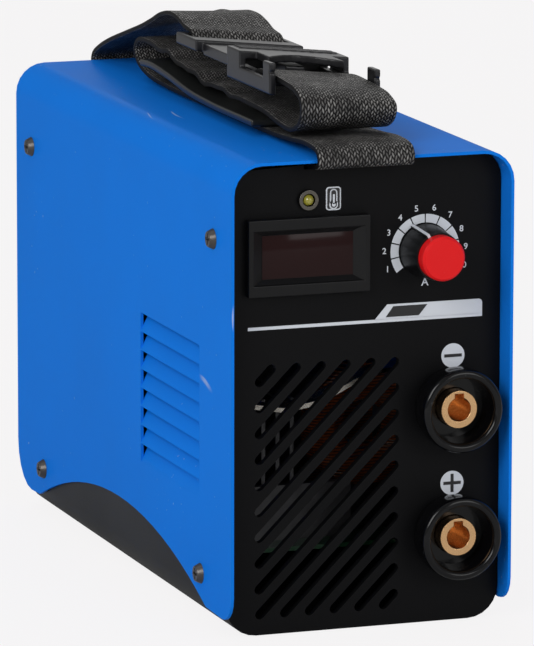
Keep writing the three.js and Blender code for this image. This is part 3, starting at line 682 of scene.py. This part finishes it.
@dataclass
class Studio:
    """Camera, lamps, floor and backdrop."""

    eye: tuple[float, float, float] = (-0.78759, -2.22777, 0.5490)
    azimuth: float = -19.592
    elevation: float = 10.894
    roll: float = 0.11
    lens: float = 341.54
    sensor: float = 36.0
    pale: Colour = (0.95, 0.94, 0.945)
    daylight: float = 0.36
    floor_side: float = 60.0
    floor_drop: float = 0.0004
    floor_glow: float = 0.92

    def camera(self) -> None:
        """Adds the camera at the viewing angle."""
        az, el, roll = (math.radians(v) for v in (self.azimuth, self.elevation, self.roll))
        back = Vector((math.sin(az) * math.cos(el), -math.cos(az) * math.cos(el), math.sin(el)))
        right = (-back).cross(Vector((0, 0, 1))).normalized()
        up = right.cross(-back)
        x = right * math.cos(roll) + up * math.sin(roll)
        y = up * math.cos(roll) - right * math.sin(roll)
        data = bpy.data.cameras.new("camera")
        data.sensor_fit = "AUTO"
        data.sensor_width = self.sensor
        data.lens = self.lens
        data.clip_end = 30
        cam = bpy.data.objects.new("camera", data)
        cam.matrix_world = Matrix((x, y, back)).transposed().to_4x4()
        cam.location = self.eye
        bpy.context.scene.collection.objects.link(cam)
        bpy.context.scene.camera = cam

    def lamp(self, name: str, at: Sequence[float], size: float, power: float,
             aim: Sequence[float] = (0, 0, 0.09)) -> None:
        """Adds one soft lamp.

        Args:
            name: Name of the lamp.
            at: Where it hangs, in metres.
            size: Side of its panel.
            power: Its watts.
            aim: What it points at.
        """
        data = bpy.data.lights.new(name, "AREA")
        data.size = size
        data.energy = power
        lamp = bpy.data.objects.new(name, data)
        lamp.location = at
        lamp.rotation_euler = (Vector(aim) - Vector(at)).to_track_quat("-Z", "Y").to_euler()
        bpy.context.scene.collection.objects.link(lamp)

    def floor(self) -> None:
        """Adds the floor, which is bright to the eye and keeps the shadow."""
        deselect()
        bpy.ops.mesh.primitive_plane_add(size=self.floor_side,
                                         location=(0, 0, -self.floor_drop))
        ground = bpy.context.active_object
        ground.name = "floor"
        settle(ground)
        made = bpy.data.materials.new("pale_floor")
        made.use_nodes = True
        nodes, links = made.node_tree.nodes, made.node_tree.links
        shader = nodes["Principled BSDF"]
        shader.inputs["Base Color"].default_value = (0.80, 0.80, 0.80, 1)
        shader.inputs["Roughness"].default_value = 0.9
        glow = nodes.new("ShaderNodeEmission")
        glow.inputs["Color"].default_value = (*self.pale, 1)
        path = nodes.new("ShaderNodeLightPath")
        blend = nodes.new("ShaderNodeMixShader")
        weight = nodes.new("ShaderNodeMath")
        weight.operation = "MULTIPLY"
        weight.inputs[1].default_value = self.floor_glow
        links.new(path.outputs["Is Camera Ray"], weight.inputs[0])
        links.new(weight.outputs[0], blend.inputs[0])
        links.new(shader.outputs[0], blend.inputs[1])
        links.new(glow.outputs[0], blend.inputs[2])
        links.new(blend.outputs[0], nodes["Material Output"].inputs["Surface"])
        ground.data.materials.append(made)

    def sky(self) -> None:
        """Sets the world: plain soft light, and a pale backdrop to the eye and to gloss."""
        world = bpy.data.worlds.new("studio")
        bpy.context.scene.world = world
        world.use_nodes = True
        nodes, links = world.node_tree.nodes, world.node_tree.links
        soft = nodes["Background"]
        soft.inputs[0].default_value = (1, 1, 1, 1)
        soft.inputs[1].default_value = self.daylight
        seen = nodes.new("ShaderNodeBackground")
        seen.inputs[0].default_value = (*self.pale, 1)
        seen.inputs[1].default_value = 1.0
        path = nodes.new("ShaderNodeLightPath")
        blend = nodes.new("ShaderNodeMixShader")
        links.new(path.outputs["Is Camera Ray"], blend.inputs[0])
        links.new(soft.outputs[0], blend.inputs[1])
        links.new(seen.outputs[0], blend.inputs[2])
        links.new(blend.outputs[0], nodes["World Output"].inputs["Surface"])

    def build(self) -> None:
        """Builds the whole studio."""
        bpy.context.scene.view_settings.view_transform = "Standard"
        self.camera()
        self.sky()
        self.floor()
        self.lamp("key", (-1.7, -1.5, 1.3), 1.3, 31)
        self.lamp("front", (0.9, -2.2, 0.9), 1.1, 10)
        self.lamp("top", (-0.5, 0.2, 2.0), 1.2, 3)
        self.lamp("rear", (0.9, 1.8, 1.2), 1.4, 5)


@dataclass
class Shell:
    """Cover, tray and end panels with their screws."""

    edge: float = 0.3
    panel_edge: float = 0.35

    def build(self) -> None:
        """Finishes the sheet metal and the mouldings."""
        place(refined("cover", self.edge), "case", BLUE, "cover")
        place(refined("chassis", self.edge), "case", TRAY, "chassis")
        for node in ("front_panel", "rear_panel"):
            place(refined(node, self.panel_edge), "case", PANEL, node)
        for i in range(1, 9):
            node = f"cover_screw_{i}"
            place(refined(node, 0.2), "case", STEEL, node)


@dataclass
class Print:
    """White and black marks on the front panel."""

    thick: float = 0.12
    rule_z: float = 117.0
    dial: Point2 = (24.2, 142.8)
    ring_in: float = 10.6
    ring_out: float = 13.8
    first: float = 216.0
    step: float = 25.2
    figure_r: float = 16.3
    unit_drop: float = 12.1
    mark_rise: float = 19.0
    mark_shift: float = 0.7
    mark_r: float = 4.65
    sign: Point2 = (3.5, 0.6)
    heat: Point2 = (-12.4, 164.5)
    rule: tuple[Point2, ...] = ((-46, -0.6), (47.3, -0.6), (47.3, 0.6), (-46, 0.6))
    tag: tuple[Point2, ...] = ((4.2, 0.5), (47.3, 0.5), (47.3, 4.9), (46.9, 5.7),
                               (46.1, 6.1), (9.2, 6.1))
    tag_field: tuple[Point2, ...] = ((8.6, 1.3), (21.8, 1.3), (25.2, 5.3), (11.6, 5.3))

    def flat(self, points: Sequence[Point2], lift: float = 0.0) -> bpy.types.Object:
        """A thin printed shape on the panel.

        Args:
            points: Its outline in X and Z.
            lift: Height of what it is printed on, over the panel.

        Returns:
            The new object.
        """
        return prism(points, FACE - lift - self.thick, FACE - lift + 0.02)

    def disc(self, x: float, z: float, r: float, sides: int = 40) -> list[Point2]:
        """The outline of a disc."""
        return [(x + r * math.cos(math.tau * k / sides), z + r * math.sin(math.tau * k / sides))
                for k in range(sides)]

    def pill(self, x: float, z: float, w: float, h: float, r: float) -> list[Point2]:
        """The outline of a rectangle with round corners."""
        corners = ((1, 1, 0), (-1, 1, 90), (-1, -1, 180), (1, -1, 270))
        return [(x + sx * (w / 2 - r) + r * math.cos(math.radians(start + 15 * k)),
                 z + sz * (h / 2 - r) + r * math.sin(math.radians(start + 15 * k)))
                for sx, sz, start in corners for k in range(7)]

    def bar(self, x: float, z: float, w: float, h: float) -> list[Point2]:
        """The outline of a plain bar, from its middle and its half sizes."""
        return [(x - w, z - h), (x + w, z - h), (x + w, z + h), (x - w, z + h)]

    def on_rule(self, points: Sequence[Point2]) -> list[Point2]:
        """An outline lifted from the rule's own height to its place on the panel."""
        return [(x, z + self.rule_z) for x, z in points]

    def segment(self, k: int) -> list[Point2]:
        """The outline of one part of the dial's ring."""
        start = math.radians(self.first - k * self.step - 1.1)
        end = math.radians(self.first - (k + 1) * self.step + 1.1)
        turn = [start + (end - start) * s / 8 for s in range(9)]
        outer = [(self.ring_out, a) for a in turn]
        inner = [(self.ring_in, a) for a in reversed(turn)]
        return [(self.dial[0] + r * math.cos(a), self.dial[1] + r * math.sin(a))
                for r, a in outer + inner]

    def text(self, words: str, x: float, z: float, size: float,
             bold: float = 0.0) -> bpy.types.Object:
        """Plain characters printed on the panel.

        Args:
            words: What is printed.
            x: Middle across.
            z: Middle height.
            size: Height of the type in millimetres.
            bold: Extra weight of the strokes.

        Returns:
            The new object.
        """
        deselect()
        bpy.ops.object.text_add()
        obj = bpy.context.active_object
        obj.data.body = words
        obj.data.size = size * MM
        obj.data.align_x = "CENTER"
        obj.data.align_y = "CENTER"
        obj.data.offset = bold * MM
        obj.data.extrude = self.thick / 2 * MM
        obj.data.resolution_u = 4
        bpy.ops.object.convert(target="MESH")
        obj = bpy.context.active_object
        obj.rotation_euler = (math.pi / 2, 0, 0)
        obj.location = (x * MM, (FACE - self.thick / 2) * MM, z * MM)
        return settle(obj)

    def figures(self) -> list[bpy.types.Object]:
        """The numbers round the dial."""
        made = []
        for k in range(10):
            a = math.radians(self.first - (k + 0.5) * self.step)
            made.append(self.text(str(k + 1), self.dial[0] + self.figure_r * math.cos(a),
                                  self.dial[1] + self.figure_r * math.sin(a), 3.3, 0.03))
        return made

    def pictogram(self) -> None:
        """The over-temperature mark beside the lamp, each layer on the one before."""
        (x, z), w, h = self.heat, 5.9, 8.8
        bulb = z - 2.3
        layers = (
            ("heat_mark", INK, [self.pill(x, z, w, h, 1.2)]),
            ("heat_mark_ground", DARK_INK, [self.pill(x, z, w - 1.0, h - 1.0, 0.8)]),
            ("heat_mark_tube", INK, [self.pill(x, z + 0.5, 2.9, 6.2, 1.4),
                                     self.disc(x, bulb, 1.75, 24)]),
            ("heat_mark_bore", DARK_INK, [self.pill(x, z + 0.6, 1.9, 5.2, 0.9),
                                          self.disc(x, bulb, 1.2, 24)]),
            ("heat_mark_stem", INK, [self.pill(x, z - 0.2, 0.7, 3.8, 0.3),
                                     self.disc(x, bulb, 0.75, 20)]))
        for layer, (name, finish, outlines) in enumerate(layers):
            shapes = [self.flat(outline, self.thick * layer) for outline in outlines]
            place(join(name, shapes), "case", finish)

    def build(self) -> None:
        """Prints everything on the front panel."""
        white = [self.flat(self.on_rule(self.rule)), self.flat(self.on_rule(self.tag))]
        white += [self.flat(self.segment(k)) for k in range(10)]
        white += self.figures()
        white.append(self.text("A", self.dial[0], self.dial[1] - self.unit_drop, 4.2, 0.04))
        black = [self.flat(self.on_rule(self.tag_field), self.thick)]
        arm, half = self.sign
        for side in ("negative", "positive"):
            x, z = socket_x_z(side, self.mark_rise)
            x += self.mark_shift
            white.append(self.flat(self.disc(x, z, self.mark_r)))
            black.append(self.flat(self.bar(x, z, arm, half), self.thick))
            if side == "positive":
                black.append(self.flat(self.bar(x, z, half, arm), self.thick + 0.01))
        place(join("panel_print", white), "case", INK)
        place(join("panel_print_dark", black), "case", DARK_INK)
        self.pictogram()


def socket_x_z(side: str, rise: float) -> Point2:
    """A place over a weld socket's axis, in X and Z.

    Args:
        side: negative or positive.
        rise: Height over the axis in millimetres.

    Returns:
        X and Z in millimetres.
    """
    centre = middle(f"socket_insert_{side}")
    return centre.x, centre.z + rise


@dataclass
class Controls:
    """Panel meter, lamp, knob and weld sockets."""

    socket_r: float = 16.0
    socket_out: float = 14.0
    socket_seat: float = 7.5
    thread_r: float = 12.0
    thread_end: float = 17.0
    throat: Point3 = (44.0, 2.7, 21.4)
    throat_back: Point2 = (36.0, 16.6)
    throat_in: float = 2.4
    throat_edge: float = 0.05
    rim_in: float = 0.15
    glass: Point3 = (35.8, 0.2, 16.4)
    glass_in: float = 2.34
    mark: float = 1.1
    mark_turn: float = 118.0
    mark_path: tuple[Point2, ...] = ((11.1, 0.7), (11.3, 0.7), (9.72, 15.1), (8.5, 15.1),
                                     (8.5, 14.9), (9.5, 14.9))

    def meter(self) -> None:
        """The meter's bezel, its sunk throat and its window."""
        place(refined("meter_bezel", 0.35), "case", BLACK, "meter_bezel")
        place(refined("meter_window", 0.1), "case", WINDOW, "meter_window")
        centre, front = middle("meter_bezel"), low("meter_bezel").y + self.rim_in
        wide, deep, tall = self.throat
        edge = self.throat_edge
        throat = block(self.throat, (centre.x, front + deep / 2, centre.z), edge)
        bpy.ops.object.mode_set(mode="EDIT")
        bpy.ops.mesh.select_all(action="DESELECT")
        bpy.ops.object.mode_set(mode="OBJECT")
        for face in throat.data.polygons:
            face.select = face.normal.y < -0.99
        bpy.ops.object.mode_set(mode="EDIT")
        bpy.ops.mesh.select_mode(type="FACE")
        bpy.ops.mesh.extrude_region_move(TRANSFORM_OT_translate={
            "value": (0, self.throat_in * MM, 0)})
        bpy.ops.transform.resize(value=(self.throat_back[0] / (wide - 2 * edge), 1,
                                        self.throat_back[1] / (tall - 2 * edge)))
        bpy.ops.object.mode_set(mode="OBJECT")
        throat.name = "meter_throat"
        place(smooth(throat, 20), "case", BLACK)
        glass = block(self.glass, (centre.x, front + self.glass_in, centre.z), edge)
        glass.name = "meter_glass"
        place(glass, "case", WINDOW)

    def lamp(self) -> None:
        """The lamp's plated rim and tinted lens."""
        place(refined("led_bezel", 0.35, 3), "case", DULL, "led_bezel")
        place(refined("led_lens", 0.05), "case", LENS, "led_lens")

    def knob(self) -> None:
        """The knob with its ribbed skirt, pointer line and red cap."""
        place(refined("knob_body", 0.25), "knob", BLACK, "knob_body")
        place(refined("knob_cap", 0.5, 3), "knob", RED, "knob_cap")
        centre = middle("potentiometer_shaft")
        turn = math.radians(self.mark_turn)
        c, s = math.cos(turn), math.sin(turn)
        line = prism(self.mark_path, -self.mark / 2, self.mark / 2)
        line.name = "knob_line"
        stance = Matrix(((c, -s, 0), (0, 0, -1), (s, c, 0))).to_4x4()
        spot = Vector((centre.x, FACE, centre.z)) * MM
        line.matrix_world = Matrix.Translation(spot) @ stance
        place(settle(line), "knob", INK)

    def sockets(self) -> None:
        """Glossy collars round brass inserts."""
        for side in ("negative", "positive"):
            x, z = socket_x_z(side, 0)
            r, rim = self.socket_r, FACE - self.socket_out
            seat, thread, end = self.socket_seat, self.thread_r, FACE + self.thread_end
            profile = [(seat, FACE - 3), (seat, end), (thread, end), (thread, FACE),
                       (r - 1.4, FACE), (r - 1.1, FACE - 2.2), (r - 0.8, FACE - 4),
                       (r - 0.2, FACE - 5.4), (r, FACE - 7), (r, rim + 2.2), (r - 0.12, rim + 1.3),
                       (r - 0.5, rim + 0.55), (r - 1.1, rim + 0.12), (r - 2, rim),
                       (r - 2.6, rim + 0.15), (r - 3.1, rim + 0.6), (r - 3.45, rim + 1.4),
                       (r - 3.7, rim + 2.6), (r - 4.4, FACE - 3)]
            collar = turned(f"weld_socket_{side}", profile, x, z, 72)
            smooth(collar, 50)
            place(collar, "case", GLOSS, f"socket_collar_{side}")
            node = f"socket_insert_{side}"
            place(refined(node, 0.35, 3), "case", BRASS, node)

    def build(self) -> None:
        """Builds all the controls."""
        self.meter()
        self.lamp()
        self.knob()
        self.sockets()


@dataclass
class Rear:
    """Fan guard, switch, gland and earth screw."""

    wire: float = 0.9
    rings: tuple[float, ...] = (18.0, 27.0, 36.0)

    def guard(self) -> None:
        """The wire guard over the fan."""
        centre = middle("fan_guard")
        made = []
        for r in self.rings:
            deselect()
            bpy.ops.mesh.primitive_torus_add(
                major_radius=r * MM, minor_radius=self.wire * MM, major_segments=64,
                minor_segments=10, rotation=(math.pi / 2, 0, 0), location=centre * MM)
            made.append(bpy.context.active_object)
        place(smooth(join("guard_rings", made), 60), "case", CHROME)
        place(refined("fan_guard", 0.15), "case", CHROME, "fan_guard")

    def build(self) -> None:
        """Builds the rear fittings."""
        self.guard()
        for i in range(1, 5):
            place(refined(f"fan_screw_{i}", 0.2), "case", STEEL, f"fan_screw_{i}")
        place(refined("fan_frame", 0.4), "case", BLACK, "fan_frame")
        place(refined("fan_rotor", 0.25), "rotor", BLACK, "fan_rotor")
        place(refined("power_switch_frame", 0.35), "case", GLOSS, "power_switch_frame")
        place(refined("power_switch_rocker", 0.5, 3), "rocker", RED, "power_switch_rocker")
        place(refined("cable_gland", 0.5), "case", GLOSS, "cable_gland")
        place(refined("earth_screw", 0.3), "case", BRASS, "earth_screw")


@dataclass
class Inside:
    """Electronics that show through the grille and the louvres."""

    kept: dict[str, Finish] = field(default_factory=lambda: {
        "gland_nut": GLOSS, "earth_nut": BRASS, "socket_nut_negative": BLACK,
        "socket_nut_positive": BLACK, "main_board": BOARD, "control_board": BOARD,
        "meter_board": BOARD, "heatsink": SHADED_ALLOY, "transformer_core": FERRITE,
        "inductor_base": BLACK, "bridge_rectifier": GLOSS, "busbar_negative": TIN,
        "busbar_positive": TIN, "strap_anchor_front": STEEL, "strap_anchor_rear": STEEL,
        "potentiometer_body": STEEL, "potentiometer_nut": CHROME,
        "potentiometer_shaft": CHROME, "capacitor_1": GLOSS, "capacitor_2": GLOSS,
        "output_inductor": WIRE, "transformer_winding": WIRE})

    def build(self) -> None:
        """Dresses each inner piece."""
        for node, finish in self.kept.items():
            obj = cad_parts[node]
            obj.data.materials.clear()
            obj.data.materials.append(finish.material())


@dataclass
class Strap:
    """Webbing carrying strap with its pad and side release buckle."""

    width: float = 38.0
    thick: float = 1.8
    middle_x: float = -4.0
    rise: float = 6.0
    ripple: float = 0.7
    voxel: float = 0.38
    lean: float = 0.105
    crest_y: float = 86.0
    crest_reach: float = 22.0
    twist: float = 1.3
    level_y: float = 62.0
    level_run: float = 40.0
    layer_front: float = -50.0
    layer_back: float = 66.0
    layer_z: float = 188.0
    last_z: float = 193.0
    waves: Point3 = (4.9, 2.7, 9.0)
    fold_edge: float = 0.55
    rib: Point3 = (40.0, 1.3, 1.0)
    rib_in: float = 2.2
    rib_pitch: float = 2.6

    def line(self, points: Sequence[Point2], count: int) -> list[Point2]:
        """A smooth line through points, evenly stepped within each span.

        Args:
            points: Y and Z of the points.
            count: Number of steps.

        Returns:
            Y and Z along the line.
        """
        pts = [Vector(p) for p in points]
        pts = [pts[0] * 2 - pts[1], *pts, pts[-1] * 2 - pts[-2]]
        spans = len(points) - 1
        out: list[Point2] = []
        for i in range(count + 1):
            f = i / count * spans
            k = min(int(f), spans - 1)
            w = f - k
            p0, p1, p2, p3 = pts[k:k + 4]
            d0, d1, d2 = (max((b - a).length ** 0.5, 1e-4) for a, b in
                          ((p0, p1), (p1, p2), (p2, p3)))
            t1 = ((p1 - p0) / d0 - (p2 - p0) / (d0 + d1) + (p2 - p1) / d1) * d1
            t2 = ((p2 - p1) / d1 - (p3 - p1) / (d1 + d2) + (p3 - p2) / d2) * d1
            a = 2 * p1 - 2 * p2 + t1 + t2
            b = -3 * p1 + 3 * p2 - 2 * t1 - t2
            q = p1 + t1 * w + b * w * w + a * w ** 3
            out.append((q.x, q.y))
        return out

    def ease(self, t: float) -> float:
        """A smooth step from 0 to 1."""
        t = min(1.0, max(0.0, t))
        return t * t * (3 - 2 * t)

    def rear_lift(self, x: float, y: float, _z: float) -> float:
        """How far the rear run rises: twisted at its crest, level with the buckle at its end.

        Args:
            x: Place across the webbing from its near edge.
            y: Place along the case.
            _z: Height before the rise, which makes no difference here.

        Returns:
            The rise in millimetres.
        """
        crest = math.exp(-((y - self.crest_y) / self.crest_reach) ** 2)
        crest = self.rise * crest * (x / self.width) ** self.twist
        level = self.ease((self.level_y - y) / self.level_run)
        return crest - self.lean * (x - self.width / 2) * level

    def front_lift(self, x: float, y: float, z: float) -> float:
        """How far the front run rises: its last layer leans with the buckle.

        Args:
            x: Place across the webbing from its near edge.
            y: Place along the case.
            z: Height before the rise.

        Returns:
            The rise in millimetres.
        """
        if y > self.layer_front:
            second = (self.ease((z - self.layer_z) / 3) * self.ease((y - self.layer_front) / 20)
                      * self.ease((self.layer_back - y) / 16))
            long, short, skew = self.waves
            return second * self.ripple * (math.sin(y / long)
                                           + 0.6 * math.sin(y / short + x / skew))
        return -self.lean * (x - self.width / 2) * self.ease((z - self.last_z) / 8)

    def band(self, name: str, points: Sequence[Point2], count: int,
             lift: Callable[[float, float, float], float] | None = None) -> bpy.types.Object:
        """A strip of webbing along a line, with its length and width in its UV map.

        Args:
            name: Name of the piece.
            points: Y and Z of the line's points.
            count: Steps along it.
            lift: Extra height from the place across, along and up, or None.

        Returns:
            The new object.
        """
        line = self.line(points, count)
        x0, cells = self.middle_x - self.width / 2, 19
        deselect()
        bpy.ops.mesh.primitive_grid_add(x_subdivisions=cells, y_subdivisions=count, size=0.01)
        obj = bpy.context.active_object
        obj.name = name
        obj.data.name = name
        run = [0.0]
        for a, b in zip(line, line[1:]):
            run.append(run[-1] + math.dist(a, b))
        places = {}
        for index, vertex in enumerate(obj.data.vertices):
            row, column = divmod(index, cells + 1)
            x = self.width * column / cells
            y, z = line[row]
            z += lift(x, y, z) if lift else 0.0
            vertex.co = ((x0 + x) * MM, y * MM, z * MM)
            places[index] = (x, run[row])
        uv = obj.data.uv_layers[0] if obj.data.uv_layers else obj.data.uv_layers.new(name="weave")
        for loop in obj.data.loops:
            uv.data[loop.index].uv = places[loop.vertex_index]
        modify(obj, "SOLIDIFY", thickness=self.thick * MM, offset=0.0)
        modify(obj, "BEVEL", width=self.fold_edge * MM, segments=3, limit_method="ANGLE",
               angle_limit=math.radians(50))
        return smooth(obj, 70)

    def moulded(self, obj: bpy.types.Object) -> bpy.types.Object:
        """Rounds every edge of a small moulding.

        Args:
            obj: The moulding.

        Returns:
            The same object.
        """
        modify(obj, "REMESH", mode="VOXEL", voxel_size=self.voxel * MM)
        modify(obj, "SMOOTH", factor=0.5, iterations=5)
        modify(obj, "DECIMATE", ratio=0.25)
        return smooth(obj, 60)

    def build(self) -> None:
        """Builds the strap, the pad and the buckle."""
        z = high("strap_anchor_rear").z + 1.15
        b = high("cover").y
        inner = high("rear_panel").y - 3
        rear = [(inner - 9, z), (inner, z), (b - 4, z), (b + 1.2, z + 1.1), (b + 2.4, 180.6),
                (b + 1, 183.6), (b - 7, 187.6), (b - 20, 192), (b - 40, 197.5), (b - 62, 203.5),
                (60, 207), (48, 210.6), (36, 211.8), (27, 210.7), (19, 208.6), (14.5, 208.1),
                (10.4, 207.4), (8.2, 205.3), (7.6, 201.1)]
        place(self.band("strap_back_run", rear, 120, self.rear_lift), "case", WEB, "strap_rear")
        front = [(-inner + 9, z), (-inner, z), (-b + 4, z), (-b - 1.2, z + 1.1),
                 (-b - 2.4, 180.6), (-b - 0.6, 183.8), (-b + 12, 185.4), (-b + 30, 184.4),
                 (-b + 50, 183.6), (0, 183.4), (40, 183.6), (64, 185), (76, 188.5), (80, 193),
                 (76, 197), (64, 198.2), (48, 197.4), (24, 195.2), (0, 192.4), (-30, 191.6),
                 (-60, 191.2), (-76, 190.6), (-92, 188.6), (-106, 188.4), (-115, 193),
                 (-116, 198.2), (-109, 201.5), (-96, 202.8), (-84, 203.4), (-72, 203.5),
                 (-67, 202.7), (-65.6, 200.3)]
        place(self.band("strap_front_run", front, 240, self.front_lift), "case", WEB,
              "strap_front")
        place(refined("strap_pad", 0.8, 3), "case", PAD, "strap_pad")
        top, rear_edge = high("buckle_female").z, high("buckle_female").y
        ribs = [refined("buckle_female", 0)]
        for k in range(3):
            rib = block(self.rib, (0, 0, 0), 0.3)
            rib.rotation_euler = (0, math.atan(self.lean), 0)
            rib.location = (self.middle_x * MM,
                            (rear_edge - self.rib_in - self.rib_pitch * k) * MM,
                            (top - self.rib_in) * MM)
            ribs.append(settle(rib))
        place(self.moulded(join("buckle_socket", ribs)), "case", GREY, "buckle_female")
        place(self.moulded(refined("buckle_male", 0)), "case", GREY, "buckle_male")


def main() -> None:
    """Builds the machine from its sub-assemblies."""
    logging.basicConfig(level=logging.INFO)
    for part in (Studio(), Shell(), Print(), Controls(), Rear(), Inside(), Strap()):
        part.build()
        log.info("built %s", type(part).__name__)


if __name__ == "__main__":
    main()
